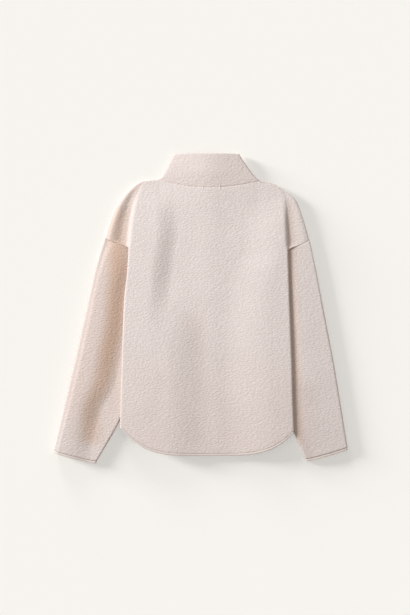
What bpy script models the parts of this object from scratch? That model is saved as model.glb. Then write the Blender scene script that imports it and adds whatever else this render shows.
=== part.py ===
"""A stand-collar fleece cardigan, laid face down on a table with its sleeves tucked under its sides.

Sizes are in millimetres, measured from the centre of the back neck seam. X runs to the wearer's right,
Y toward the collar and Z up off the table. "Out" is the distance from the centre line of the body.
"""

import math

import bpy
import numpy as np

MM = 0.001
FLEECE = 4.0  # cloth and pile together
BINDING = 3.0
SEAM = 0.3  # the space between two pieces at a seam
NECK_TURN = 7.8  # the collar turns to the front this far inside the end of the shoulder

# The rows of the body run across it, from the neck seam (0) to the hem seam (14) and the hem (15).
BODY = {
    "row": (0, 1, 2, 3, 4, 5, 6, 7, 8, 9, 10, 11, 12, 13, 14, 15),
    "back_y": (-1, -22, -44, -70, -104, -130, -139, -148, -172, -205, -270, -350, -440, -540, -637, -643),
    "front_y": (
        -62, -80, -97, -113, -133, -147, -153, -160,
        -178, -208, -270, -350, -440, -540, -637, -643,
    ),
    "bow": (2.0, 2.0, 2.0, 2.1, 2.2, 2.2, 2.2, 2.2, 2.2, 2.2, 2.3, 2.5, 2.9, 3.4, 4.0, 4.1),
}
# At each side a row turns over the edge of the body, and ends on the shoulder line (rows 0 to 5),
# the armhole (5 to 10) or the side seam (10 to 15).
SIDES = {
    "left": {
        "sign": -1,  # the way that X runs out to this side
        "edge_out": (
            120, 153, 170, 179.5, 187.5, 191, 191.8, 192.6,
            194, 196, 203, 206.4, 209, 211.5, 213, 213.6,
        ),
        "edge_y": (
            17, 13, -16, -46, -92, -126, -135, -146,
            -172, -205, -268, -342, -424, -508, -571, -577,
        ),
        "end_out": (123, 157, 188, 213, 235.5, 246, 223, 193, 176, 163, 150, 152, 160, 172, 183, 184),
        "end_y": (17, 14, -6, -36, -84, -122, -133, -145, -172, -205, -268, -340, -420, -500, -564, -570),
        "top_z": (
            4.9, 4.9, 7.2, 10.8, 13.2, 13.8, 13.8, 13.8,
            13.8, 13.8, 13.8, 13.8, 13.8, 13.8, 13.5, 13.3,
        ),
        "turned_z": (4.7, 4.7, 4.7, 4.6, 4.5, 4.5, 5.0, 9.0, 9.3, 9.3, 9.3, 9.3, 9.3, 9.3, 9.0, 8.8),
        "puff_z": 6.0,  # how far the cloth out over the shoulder swells off the table
        # The long soft slopes that run down the back beside the turned edge: one below the shoulder, and
        # one from the middle of the back to the hem.
        "upper_y": (-300, -246, -174, -102, -13, 20),
        "upper_out": (122, 118, 109, 100, 103, 104),
        "upper_half": 27,
        "lower_y": (-640, -462, -300),
        "lower_out": (46, 50, 56),
        "lower_half": 54,
    },
    "right": {
        "sign": 1,
        "edge_out": (
            122, 147, 181.5, 184, 185.5, 187.5, 188.2, 189,
            189.8, 190.8, 192.8, 195.5, 198.5, 200.8, 203.8, 204.2,
        ),
        "edge_y": (
            14, 9.5, -18, -48, -90, -128, -137, -150,
            -174, -206, -268, -342, -424, -509, -583, -589,
        ),
        "end_out": (125, 150, 185, 207, 226, 238, 222, 190, 174, 161, 148, 150, 158, 168, 176, 177),
        "end_y": (14, 10, -11, -31, -80, -126, -136, -150, -174, -206, -268, -340, -420, -500, -572, -578),
        "top_z": (
            4.9, 4.9, 5.2, 8.7, 12.6, 13.8, 13.8, 13.8,
            13.8, 13.8, 13.8, 13.8, 13.8, 13.8, 13.5, 13.3,
        ),
        "turned_z": (4.7, 4.7, 4.7, 4.6, 4.5, 4.5, 5.0, 9.0, 9.3, 9.3, 9.3, 9.3, 9.3, 9.3, 9.0, 8.8),
        "puff_z": 1.2,
        "upper_y": (-300, -268, -205, -150, -60, 20),
        "upper_out": (94, 96, 104, 128, 132, 124),
        "upper_half": 52,
        "lower_y": (-640, -420, -300),
        "lower_out": (104, 90, 86),
        "lower_half": 60,
    },
}
# The sleeves, from the armhole (0) to the cuff seam (1).
SLEEVES = {
    "left": {
        "along": (0, 0.1, 0.2, 0.4, 0.6, 0.8, 1),
        "outer_out": (246, 261, 275.5, 300, 324, 348, 371.5),
        "outer_y": (-124, -173, -224, -329, -433, -536, -631),
        "inner_out": (150, 158, 164, 170, 182, 214, 269),
        "inner_y": (-270, -299, -332, -408, -483, -559, -658),
        "fold_z": (0.3, 5.5, 8, 9.5, 9.5, 9, 6),
        "ridge_z": (4.6, 8.5, 10.5, 12, 12, 11.5, 8),
        "ridge_across": (0.2, 0.12, 0.1, 0.1, 0.1, 0.1, 0.1),
        "trough_across": (0.4, 0.55, 0.64, 0.7, 0.7, 0.64, 0.84),
    },
    "right": {
        "along": (0, 0.1, 0.2, 0.4, 0.6, 0.8, 1),
        "outer_out": (238, 249, 260.5, 281, 300.5, 317.5, 332),
        "outer_y": (-128, -176, -226, -327, -430, -533, -624),
        "inner_out": (148, 160, 165, 169, 177, 196, 231),
        "inner_y": (-270, -298, -332, -408, -483, -565, -653),
        "fold_z": (0, 0.4, 0.6, 0.8, 0.8, 1, 1),
        "ridge_z": (0.3, 1.1, 1.5, 1.6, 1.6, 1.8, 2.2),
        "ridge_across": (0.3, 0.36, 0.4, 0.44, 0.46, 0.5, 0.5),
        "trough_across": (0.56, 0.58, 0.62, 0.66, 0.72, 0.82, 0.86),
    },
}
CUFF_BINDING = 6.0
COLLAR = {"top_y": 79.0, "front_top_y": 22.0, "left_top_out": 84.0, "right_top_out": 72.0, "arch": 5.0}
ZIP_HALF_SPACE = 5.5  # from the centre front to the edge of each front

COLOURS = {
    "fleece": (0.81, 0.72, 0.685, 1.0),
    "binding": (0.80, 0.685, 0.625, 1.0),
    "tape": (0.74, 0.60, 0.55, 1.0),
    "metal": (0.72, 0.68, 0.66, 1.0),
}


def through(xs, ys, x):
    """A smooth line through the rows of a table, that never overshoots them."""
    xs, ys = np.array(xs, float), np.array(ys, float)
    step = np.diff(xs)
    slope = np.diff(ys) / step
    m = np.concatenate([slope[:1], np.zeros(len(xs) - 2), slope[-1:]])
    for i in range(1, len(xs) - 1):
        if slope[i - 1] * slope[i] > 0:
            m[i] = 2 * slope[i - 1] * slope[i] / (slope[i - 1] + slope[i])
    x = np.clip(np.asarray(x, float), xs[0], xs[-1])
    i = np.clip(np.searchsorted(xs, x, side="right") - 1, 0, len(xs) - 2)
    t = (x - xs[i]) / step[i]
    start = ys[i] * (1 + 2 * t) * (1 - t) ** 2 + m[i] * step[i] * t * (1 - t) ** 2
    end = ys[i + 1] * t * t * (3 - 2 * t) - m[i + 1] * step[i] * t * t * (1 - t)
    return start + end


def ease(low, high, x):
    t = np.clip((x - low) / (high - low), 0, 1)
    return t * t * (3 - 2 * t)


def row(side, column, v):
    return through(BODY["row"], SIDES[side][column], v)


def arch(x, y):
    """The neck and collar stand a little off the table in the middle."""
    return COLLAR["arch"] * np.clip(1 - (x / 118) ** 2, 0, 1) * ease(-110, 5, y)


def back_z(side, out, y, v):
    """The inner face of the back's upper layer."""
    s = SIDES[side]
    upper, lower = (through(s[part + "_y"], s[part + "_out"], y) for part in ("upper", "lower"))
    half = s["upper_half"], s["lower_half"]
    share = ease(-370, -215, y)
    climb = share * ease(upper - half[0], upper + half[0], out)
    climb = climb + (1 - share) * ease(lower - half[1], lower + half[1], out)
    base = 4.6 + 1.2 * np.exp(-((out / 35) ** 2))
    return base + (row(side, "top_z", v) - base) * climb


def front_z(side, out, y, v):
    """The outer face of a front, which rests on the table and follows the back's larger folds."""
    t = back_z(side, out, y, v) - 8.1
    lift = np.maximum(0.5 * (t + np.sqrt(t * t + 1)) - 0.12, 0)
    reach = np.minimum(row(side, "edge_out", v), row(side, "end_out", v))
    held = ease(reach - 48, reach - 14, out)
    return lift * (1 - (1 - ease(10, 10.8, v)) * held)


def half_back(side, c, v):
    """The middle surface of half of the back: 0 to 1 from its centre to its edge, 1 to 2 over the edge
    and 2 to 3 beneath it, or out over the shoulder."""
    edge, edge_y = row(side, "edge_out", v), row(side, "edge_y", v)
    end, end_y = row(side, "end_out", v), row(side, "end_y", v)
    centre_y = through(BODY["row"], BODY["back_y"], v)
    bow = through(BODY["row"], BODY["bow"], v)
    top = row(side, "top_z", v) + FLEECE / 2
    low = row(side, "turned_z", v) + FLEECE / 2
    k = np.clip((end - edge) / 20, -1, 1)
    outward, inward = np.maximum(k, 0), np.maximum(-k, 0)
    short = 1 - np.abs(k)
    x0 = edge - 4.25 - 3.75 * outward
    x1 = edge - 1.5 + 2 * outward + 0.25 * inward
    x2 = edge - 2 + 1.5 * outward + 0.75 * inward
    x3 = edge - 2 + 10 * outward - 2.25 * inward
    z3 = low + np.minimum(3, 0.35 * (top - low)) * short
    last = end - 2 * short + 0.7 * inward
    # the upper layer
    on = np.clip(c, 0, 1)
    out = x0 * on
    y = centre_y + (edge_y - centre_y) * on**bow
    z = back_z(side, out, y, v) + FLEECE / 2
    # over the edge
    t = np.clip(c - 1, 0, 1)
    bend = (1 - t) ** 3, 3 * t * (1 - t) ** 2, 3 * t * t * (1 - t), t**3
    out = np.where(c > 1, bend[0] * x0 + bend[1] * x1 + bend[2] * x2 + bend[3] * x3, out)
    z = np.where(c > 1, (bend[0] + bend[1]) * top + (bend[2] + bend[3]) * z3, z)
    # beneath it, or out over the shoulder
    t = np.clip(c - 2, 0, 1)
    seam_z = front_z(side, end, end_y, v) + FLEECE / 2
    seam_z = low + (seam_z - low) * ease(10, 10.8, v)
    tail = x3 + (last - x3) * t
    down = ease(end + 10.5, end, tail) * (k < 0)
    tail_z = np.where(short > 0, z3 + (low - z3) * t, low) + (seam_z - low) * down
    puff = SIDES[side]["puff_z"] * ease(1.2, 4, v) * (1 - ease(5, 6.2, v))
    tail_z = tail_z + outward * puff * ease(0.2, 0.78, t) * (1 - ease(0.8, 1, t))
    at_seam = swell(side, (v - 5) / 5, 0 * v, 110) * (v > 5) * (1 - ease(6.2, 6.9, v))
    tail_z = tail_z + outward * at_seam * ease(0.2, 1, t)
    out = np.where(c > 2, tail, out)
    z = np.where(c > 2, tail_z, z)
    y = np.where(c > 2, edge_y + (end_y - edge_y) * t, y)
    x = SIDES[side]["sign"] * out
    return np.stack([x, y, z + arch(x, y)], -1)


def half_front(side, c, v):
    """The middle surface of one front: 0 to 1 from its front edge to the shoulder, armhole or side seam."""
    end, end_y = row(side, "end_out", v) - SEAM, row(side, "end_y", v)
    centre_y = through(BODY["row"], BODY["front_y"], v)
    out = ZIP_HALF_SPACE + (end - ZIP_HALF_SPACE) * c
    on = np.clip(out / (end + SEAM - NECK_TURN * (1 - ease(0, 1.5, v))), 0, 1)
    y = centre_y + (end_y - centre_y) * on ** through(BODY["row"], BODY["bow"], v)
    z = front_z(side, out, y, v) + FLEECE / 2
    x = SIDES[side]["sign"] * out
    return np.stack([x, y, z + arch(x, y)], -1)


def armhole(side, across):
    """The armhole from the end of the shoulder (0) to the underarm (1)."""
    v = 5 + 5 * across
    return row(side, "end_out", v), row(side, "end_y", v)


def outer_fold(side, v):
    """How high the sleeve's outer fold swells, how far it is lifted off the table, its curve's handles and
    where the upper layer starts."""
    swelling = through(SLEEVES[side]["along"], SLEEVES[side]["fold_z"], v)
    lift = np.maximum(swelling - 5, 0)
    handle = np.sqrt(1.533 * (4.3 + swelling - lift))
    return swelling, lift, handle, FLEECE / 2 + 0.75 * handle


def swell(side, across, v, width):
    """How far the sleeve's upper layer stands above two flat layers: a ridge beside the outer fold, then a
    slope that steepens down to the trough beside the body."""
    s = SLEEVES[side]
    fold, _, _, start = outer_fold(side, v)
    ridge, trough = (through(s["along"], s[c], v) for c in ("ridge_across", "trough_across"))
    height = through(s["along"], s["ridge_z"], v)
    rise = fold + (height - fold) * ease(start / width, ridge, across)
    run = np.clip((across - ridge) / (trough - ridge), 0, 1)
    reach = 1.2 - 0.2 * ease(0.6, 0.75, v)
    return rise * (1 - ease(0, reach, run**1.6) / ease(0, reach, 1.0))


def sleeve(side, loop, v, beyond=0.0):
    """The middle surface of a sleeve. loop runs 0 to 1 over the top from the outer edge to the inner one,
    1 to 2 round the inner edge, 2 to 3 back beneath and 3 to 4 round the outer edge."""
    s = SLEEVES[side]

    def at(column):
        return through(s["along"], s[column], v)

    outer = np.stack([at("outer_out"), at("outer_y")], -1)
    inner = np.stack([at("inner_out"), at("inner_y")], -1)
    width = np.linalg.norm(inner - outer, axis=-1)
    r = (FLEECE + SEAM) / 2
    edge = r + FLEECE / 2
    fold, lift, handle, start = outer_fold(side, v)
    turn = (loop % 1) * math.pi
    on = np.where(loop <= 1, loop, np.clip(3 - loop, 0, 1))
    p = start + (width - start - edge) * on
    p = np.where((loop > 1) & (loop < 2), width - edge + r * np.sin(turn), p)
    t = np.clip(loop - 3, 0, 1)
    p = np.where(loop > 3, start - 3 * handle * t * (1 - t), p)
    across = p / width
    lumen = swell(side, across, v, width)
    top = FLEECE / 2 + 2 * r + lumen
    bottom = FLEECE / 2 + np.maximum(lumen - 5, 0)
    z = np.where(loop <= 1, top, bottom)
    z = np.where((loop > 1) & (loop < 2), FLEECE / 2 + r + r * np.cos(turn), z)
    low, high = FLEECE / 2 + lift, FLEECE / 2 + 2 * r + fold
    z = np.where(loop > 3, low + (high - low) * t * t * (3 - 2 * t), z)
    plan = outer + (inner - outer) * across[..., None]
    begin = np.stack(armhole(side, across), -1)
    chord_out = s["outer_out"][0] + (s["inner_out"][0] - s["outer_out"][0]) * across
    chord_y = s["outer_y"][0] + (s["inner_y"][0] - s["outer_y"][0]) * across
    plan = plan + (begin - np.stack([chord_out, chord_y], -1)) * (1 - ease(0, 0.35, v))[..., None]
    # clear of the armhole, and on past the cuff seam for the binding
    further = np.stack(armhole(side, np.clip(across + 0.01, 0, 1)), -1)
    along_seam = unit(further - np.stack(armhole(side, np.clip(across - 0.01, 0, 1)), -1))
    away = np.stack([-along_seam[..., 1], along_seam[..., 0]], -1)
    clear = (1.2 + 0.2 * lumen + 1.9 * across**8) * (1 - ease(0, 0.3, v))
    axis = np.array([s["outer_out"][-1] - s["outer_out"][-2], s["outer_y"][-1] - s["outer_y"][-2]])
    axis = axis / np.linalg.norm(axis)
    corner = 3.6 * (np.exp(-p / 6) + np.exp(-(width - p) / 6)) * ease(0.85, 1, v)
    plan = plan + away * clear[..., None] + axis * (beyond - corner)[..., None]
    return np.stack([SIDES[side]["sign"] * plan[..., 0], plan[..., 1], z], -1)


def collar(u, w):
    """The middle surface of the collar. u runs from the right front edge (-2) round the right side (-1),
    across the back (0), round the left side (1) to the left front edge (2); w runs up it from the neck."""
    size = COLLAR
    side = np.where(u < 0, 1, -1)
    foot = np.where(u < 0, SIDES["right"]["end_out"][0], SIDES["left"]["end_out"][0]) - NECK_TURN + 4.15
    foot_y = np.where(u < 0, SIDES["right"]["end_y"][0], SIDES["left"]["end_y"][0])
    top = np.where(u < 0, size["right_top_out"], size["left_top_out"])
    edge = foot + (top - foot) * w**0.8
    r = (FLEECE + SEAM) / 2
    bend = r + FLEECE / 2
    a = np.abs(u)
    turn = np.clip((a - 0.9) / 0.2, 0, 1) * math.pi
    on_back = np.clip(a / 0.9, 0, 1)
    on_front = np.clip((a - 1.1) / 0.9, 0, 1)
    out = (edge - bend) * on_back + r * np.sin(turn)
    out = np.where(a > 1.1, (edge - bend) + (ZIP_HALF_SPACE - edge + bend) * on_front, out)
    share = np.clip(out / (edge - bend), 0, 1)
    foot_back = -1 + (foot_y + 1) * share**2
    top_back = size["top_y"] - 1.5 * share**4
    back_y = foot_back + (top_back - foot_back) * w
    foot_front = BODY["front_y"][0] + (foot_y - BODY["front_y"][0]) * share**2
    top_front = size["front_top_y"] + (top_back - size["front_top_y"]) * share**1.6
    front_y = foot_front + (top_front - foot_front) * w
    y = np.where(a < 1, back_y, front_y)
    crown = 3.4 * (1 - share**2) * ease(0, 0.5, w)
    z = FLEECE / 2 + r + r * np.cos(turn) + np.where(a < 1, 1, 0) * (0.25 + crown)
    base = 1.2 * np.exp(-((out / 35) ** 2))
    z = z + np.where(a < 1, base, 0)
    x = side * out
    return np.stack([x, y + 4.5 * SEAM, z + arch(x, y)], -1)


def unit(v):
    return v / np.maximum(np.linalg.norm(v, axis=-1, keepdims=True), 1e-12)


def tangents(grid, axis, closed):
    """The direction of each point along one axis of a grid, halfway between its two neighbours."""
    ahead = unit(np.roll(grid, -1, axis) - grid)
    behind = np.roll(ahead, 1, axis)
    if not closed:
        first = [slice(None)] * 3
        last = [slice(None)] * 3
        first[axis], last[axis] = 0, -1
        behind[tuple(first)] = ahead[tuple(first)]
        ahead[tuple(last)] = behind[tuple(last)]
    return unit(ahead + behind), np.sqrt(np.clip((1 + (ahead * behind).sum(-1)) / 2, 0.25, 1))


def wall(grid, thick, closed=False):
    """Both faces of a cloth whose middle surface is a grid (across, along, xyz)."""
    across, corner = tangents(grid, 0, closed)
    along, _ = tangents(grid, 1, False)
    normal = unit(np.cross(across, along))
    half = (thick / 2 / corner)[..., None]
    return grid + normal * half, grid - normal * half


def shell(grid, thick, closed=False):
    """A closed solid of the cloth between both faces of a grid, as points and triangles."""
    upper, lower = wall(grid, np.broadcast_to(thick, grid.shape[:2]), closed)
    n, m = grid.shape[:2]
    points = np.concatenate([upper.reshape(-1, 3), lower.reshape(-1, 3)])
    i, j = np.meshgrid(np.arange(n if closed else n - 1), np.arange(m - 1), indexing="ij")
    a = (i * m + j).ravel()
    b = (((i + 1) % n) * m + j).ravel()
    faces = [np.stack([a, b, b + 1], 1), np.stack([a, b + 1, a + 1], 1)]
    base = n * m
    faces += [np.stack([a, b + 1, b], 1) + base, np.stack([a, a + 1, b + 1], 1) + base]
    rims = [(np.arange(n) * m, closed), (np.arange(n) * m + m - 1, closed)]
    turned = [True, False]
    if not closed:
        rims += [(np.arange(m), False), (np.arange(m) + (n - 1) * m, False)]
        turned += [False, True]
    for (line, round_it), flip in zip(rims, turned):
        p, q = (line, np.roll(line, -1)) if round_it else (line[:-1], line[1:])
        if flip:
            p, q = q, p
        faces += [np.stack([p, q, q + base], 1), np.stack([p, q + base, p + base], 1)]
    return points, np.concatenate(faces)


def material(name, colour, rough, metal=0.0):
    m = bpy.data.materials.new(name)
    m.use_nodes = True
    shader = m.node_tree.nodes["Principled BSDF"]
    shader.inputs["Base Color"].default_value = colour
    shader.inputs["Roughness"].default_value = rough
    shader.inputs["Metallic"].default_value = metal
    m.diffuse_color = colour
    return m


def piece(name, points, faces, look):
    """A named object from points in millimetres, facing outward."""
    p = np.asarray(points, float)
    f = np.asarray(faces, int)
    a, b, c = p[f[:, 0]], p[f[:, 1]], p[f[:, 2]]
    if (a * np.cross(b, c)).sum() < 0:
        f = f[:, ::-1]
    mesh = bpy.data.meshes.new(name)
    mesh.from_pydata((p * MM).tolist(), [], f.tolist())
    mesh.materials.append(look)
    mesh.polygons.foreach_set("use_smooth", [True] * len(mesh.polygons))
    o = bpy.data.objects.new(name, mesh)
    bpy.context.collection.objects.link(o)
    return o


def grid_of(function, us, vs):
    u, v = np.meshgrid(np.array(us, float), np.array(vs, float), indexing="ij")
    return function(u, v)


def steps(*spans):
    """Values that run through spans of (first, last, number of steps)."""
    values = [spans[0][0]]
    for first, last, n in spans:
        values += list(np.linspace(first, last, n + 1)[1:])
    return values


def back_grid(half, rows):
    left = grid_of(lambda c, v: half_back("left", c, v), half[::-1], rows)
    right = grid_of(lambda c, v: half_back("right", c, v), half[1:], rows)
    return np.concatenate([left, right])


for old in list(bpy.data.objects):
    bpy.data.objects.remove(old, do_unlink=True)

fleece = material("fleece", COLOURS["fleece"], 0.95)
binding = material("binding", COLOURS["binding"], 0.8)
tape = material("zip_tape", COLOURS["tape"], 0.75)
metal = material("zip_metal", COLOURS["metal"], 0.35, 1.0)

BACK_COLUMNS = steps((0, 0.85, 11), (0.85, 1, 2), (1, 2, 6), (2, 3, 4))
FRONT_COLUMNS = steps((0, 0.6, 7), (0.6, 1, 8))
ROWS = steps((0, 2, 4), (2, 5, 4), (5, 10, 10), (10, 14, 8))

piece("back", *shell(back_grid(BACK_COLUMNS, ROWS), FLEECE), fleece)
for name in ("left", "right"):
    grid = grid_of(lambda c, v: half_front(name, c, v), FRONT_COLUMNS, ROWS)
    piece(f"front_{name}", *shell(grid, FLEECE), fleece)
    over = steps((0, 1, 10), (1, 2, 4), (2, 3, 7), (3, 4, 4))[:-1]
    grid = grid_of(lambda u, v: sleeve(name, u, v), over, steps((0, 0.2, 4), (0.2, 1, 11)))
    piece(f"sleeve_{name}", *shell(grid, FLEECE, closed=True), fleece)
    ring = grid_of(lambda u, v: sleeve(name, u, np.ones_like(v), v), over, (SEAM + 0.25, CUFF_BINDING))
    piece(f"cuff_binding_{name}", *shell(ring, BINDING, closed=True), binding)

around = steps((-2, -1.1, 8), (-1.1, -0.9, 4), (-0.9, 0.9, 14), (0.9, 1.1, 4), (1.1, 2, 8))
piece("collar", *shell(grid_of(collar, around, steps((0, 1, 6))), FLEECE), fleece)

hem_rows = (14.06, 15)
hem = np.concatenate(
    [
        grid_of(lambda c, v: half_front("left", c, v), FRONT_COLUMNS, hem_rows),
        back_grid(BACK_COLUMNS, hem_rows),
        grid_of(lambda c, v: half_front("right", c, v), FRONT_COLUMNS[::-1], hem_rows),
    ]
)
piece("hem_binding", *shell(hem, BINDING), binding)


def zip_grid(section, side, rows):
    """Half of the zip: a section of (out, z) points drawn along the centre front."""
    y = np.array(rows, float)
    out, z = np.array(section, float).T
    grid = np.zeros((len(section), len(rows), 3))
    grid[..., 0] = side * out[:, None]
    grid[..., 1] = y
    grid[..., 2] = z[:, None] + arch(0.0, y)
    return grid


def prism(grid, cap):
    """A closed solid between the first and last section of a grid, with both ends capped by triangles."""
    n, m = grid.shape[:2]
    i, j = np.meshgrid(np.arange(n), np.arange(m - 1), indexing="ij")
    a = (i * m + j).ravel()
    b = (((i + 1) % n) * m + j).ravel()
    ends = np.array(cap) * m
    faces = [np.stack([a, b, b + 1], 1), np.stack([a, b + 1, a + 1], 1), ends, ends[:, ::-1] + m - 1]
    return grid.reshape(-1, 3), np.concatenate(faces)


# Each half of the zip is a woven tape inside the front, with its half of the coil along the edge.
TAPE_SECTION = (
    (0.2, 2.2),
    (0.2, 4.3),
    (1.0, 4.5),
    (1.0, 5.2),
    (16.0, 5.2),
    (16.0, 4.5),
    (2.9, 4.4),
    (2.9, 2.2),
)
TAPE_CAP = ((0, 6, 1), (0, 7, 6), (1, 6, 2), (2, 6, 5), (2, 5, 4), (2, 4, 3))
zip_rows = steps((-640, -110, 10), (-110, 5, 10), (5, 20, 1))
for name, side in (("left", -1), ("right", 1)):
    grid = zip_grid(TAPE_SECTION, side, zip_rows)
    piece(f"zip_{name}", *prism(grid, TAPE_CAP), tape)


def blocks(xs, ys, zs, filled):
    """The closed surface of the filled cells of a box grid. filled holds (x, y, z) ranges of cells."""
    solid = np.zeros((len(xs) + 1, len(ys) + 1, len(zs) + 1), bool)
    for (x0, x1), (y0, y1), (z0, z1) in filled:
        solid[x0 + 1 : x1 + 1, y0 + 1 : y1 + 1, z0 + 1 : z1 + 1] = True
    found, points, faces = {}, [], []

    def corner(key):
        if key not in found:
            found[key] = len(points)
            points.append((xs[key[0]], ys[key[1]], zs[key[2]]))
        return found[key]

    for cell in np.argwhere(solid):
        for axis in range(3):
            for end in (0, 1):
                beside = cell.copy()
                beside[axis] += 1 if end else -1
                if solid[tuple(beside)]:
                    continue
                b, c = (axis + 1) % 3, (axis + 2) % 3
                quad = []
                for db, dc in ((0, 0), (1, 0), (1, 1), (0, 1)):
                    key = [int(n) - 1 for n in cell]
                    key[axis] += end
                    key[b] += db
                    key[c] += dc
                    quad.append(corner(tuple(key)))
                if not end:
                    quad = quad[::-1]
                faces += [(quad[0], quad[1], quad[2]), (quad[0], quad[2], quad[3])]
    return points, faces


# The slider stands closed at the top of the zip: two plates joined past the end of the coil, and a bail
# below them that goes through the eye of the pull.
ALL = (0, 3)
SLIDER_X = (-3.6, -0.7, 0.7, 3.6)
SLIDER_Y = (8, 11, 12, 16, 17, 20.6, 22.4)
SLIDER_Z = (3.3, 4.1, 5.7, 6.9, 10.45, 11.0)
slider = blocks(
    SLIDER_X,
    SLIDER_Y,
    SLIDER_Z,
    [
        (ALL, (0, 6), (2, 3)),
        (ALL, (0, 6), (4, 5)),
        (ALL, (5, 6), (3, 4)),
        ((1, 2), (1, 2), (1, 2)),
        ((1, 2), (3, 4), (1, 2)),
        ((1, 2), (1, 4), (0, 1)),
    ],
)
piece("zip_slider", *slider, metal)
pull = blocks(
    (-3, -1.5, 1.5, 3),
    (-16, 9.5, 14, 15.4),
    (4.4, 5.4),
    [(ALL, (0, 1), (0, 1)), (ALL, (2, 3), (0, 1)), ((0, 1), (1, 2), (0, 1)), ((2, 3), (1, 2), (0, 1))],
)
piece("zip_pull", *pull, metal)

# The origin is under the middle of the laid garment, on the table.
corners = [v.co for o in bpy.data.objects for v in o.data.vertices]
low = [min(c[i] for c in corners) for i in range(3)]
high = [max(c[i] for c in corners) for i in range(3)]
for o in bpy.data.objects:
    o.location = (-(low[0] + high[0]) / 2, -(low[1] + high[1]) / 2, -low[2])
print("placed at", [round(n / MM, 2) for n in bpy.data.objects["back"].location])
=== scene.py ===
"""The look of a stand-collar fleece cardigan, laid face down under soft light from the upper left.

Cloth sizes are in millimetres, measured from the centre of the back neck seam. X runs to the wearer's
right, Y toward the collar and Z up off the table. "Out" is the distance from the centre line of the body.
"""

import math

import bpy
import numpy as np
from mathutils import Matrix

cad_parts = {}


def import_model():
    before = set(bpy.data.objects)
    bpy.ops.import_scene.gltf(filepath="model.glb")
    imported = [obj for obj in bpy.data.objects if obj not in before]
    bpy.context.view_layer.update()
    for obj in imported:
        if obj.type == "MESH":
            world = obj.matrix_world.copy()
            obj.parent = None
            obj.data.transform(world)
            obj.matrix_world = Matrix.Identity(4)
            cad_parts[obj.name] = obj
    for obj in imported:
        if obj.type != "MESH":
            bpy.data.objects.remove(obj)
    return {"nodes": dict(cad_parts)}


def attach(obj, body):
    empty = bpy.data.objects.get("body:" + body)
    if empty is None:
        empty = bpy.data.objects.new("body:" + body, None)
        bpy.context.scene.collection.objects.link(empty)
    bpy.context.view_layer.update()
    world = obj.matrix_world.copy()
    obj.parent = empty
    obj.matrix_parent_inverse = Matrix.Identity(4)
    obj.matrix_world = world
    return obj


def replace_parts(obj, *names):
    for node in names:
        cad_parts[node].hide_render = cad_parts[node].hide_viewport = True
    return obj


MM = 0.001
PLACED = (19.85, 290.43, 0.15)  # where the middle of the neck seam is, in the frame of the whole object
FLEECE = 4.0  # cloth and pile together
NUB = 0.2  # how far the curls of the pile stand up, within the cloth's thickness
BIG_CURL, SMALL_CURL = 7.5, 4.4  # from one curl to the next, in the shape of the pile
CURL = 3.5  # and in its material
BINDING = 3.0
SEAM = 0.3  # the space between two pieces at a seam
NECK_TURN = 7.8  # the collar turns to the front this far inside the end of the shoulder

# The rows of the body run across it, from the neck seam (0) to the hem seam (14) and the hem (15).
BODY = {
    "row": (0, 1, 2, 3, 4, 5, 6, 7, 8, 9, 10, 11, 12, 13, 14, 15),
    "back_y": (-1, -22, -44, -70, -104, -130, -139, -148, -172, -205, -270, -350, -440, -540, -637, -643),
    "front_y": (
        -62, -80, -97, -113, -133, -147, -153, -160,
        -178, -208, -270, -350, -440, -540, -637, -643,
    ),
    "bow": (2.0, 2.0, 2.0, 2.1, 2.2, 2.2, 2.2, 2.2, 2.2, 2.2, 2.3, 2.5, 2.9, 3.4, 4.0, 4.1),
}
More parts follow.
